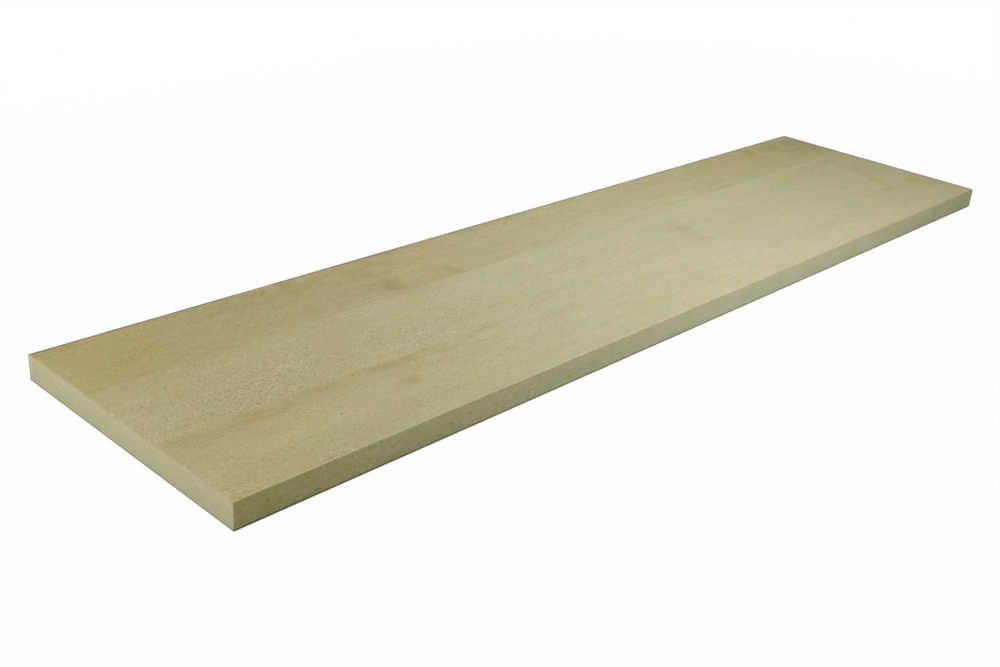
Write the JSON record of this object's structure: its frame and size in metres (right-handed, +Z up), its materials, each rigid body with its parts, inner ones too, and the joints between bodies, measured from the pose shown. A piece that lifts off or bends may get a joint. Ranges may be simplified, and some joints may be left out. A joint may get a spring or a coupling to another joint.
{
  "type": "edge-glued wood panel",
  "caption": "Flat rectangular panel of pale hardwood, glued edge to edge from full-length staves, sanded, with lightly softened edges.",
  "frame": {"origin": "centre of the underside, on the surface that the panel lies on", "axes": "+X along the grain and the length, +Y across the staves from the front edge to the back edge, +Z up through the thickness"},
  "size_m": [0.8, 0.2, 0.016],
  "materials": {
    "front_stave_wood": "sanded smooth, bare, semi-matte; pale straw colour",
    "middle_stave_wood": "sanded smooth, bare, semi-matte; pale straw colour with fine flecks",
    "back_stave_wood": "sanded smooth, bare, semi-matte; slightly browner straw colour"
  },
  "bodies": {
    "root": {"front_stave": "front_stave_wood", "middle_stave": "middle_stave_wood", "back_stave": "back_stave_wood"}
  },
  "joints": []
}
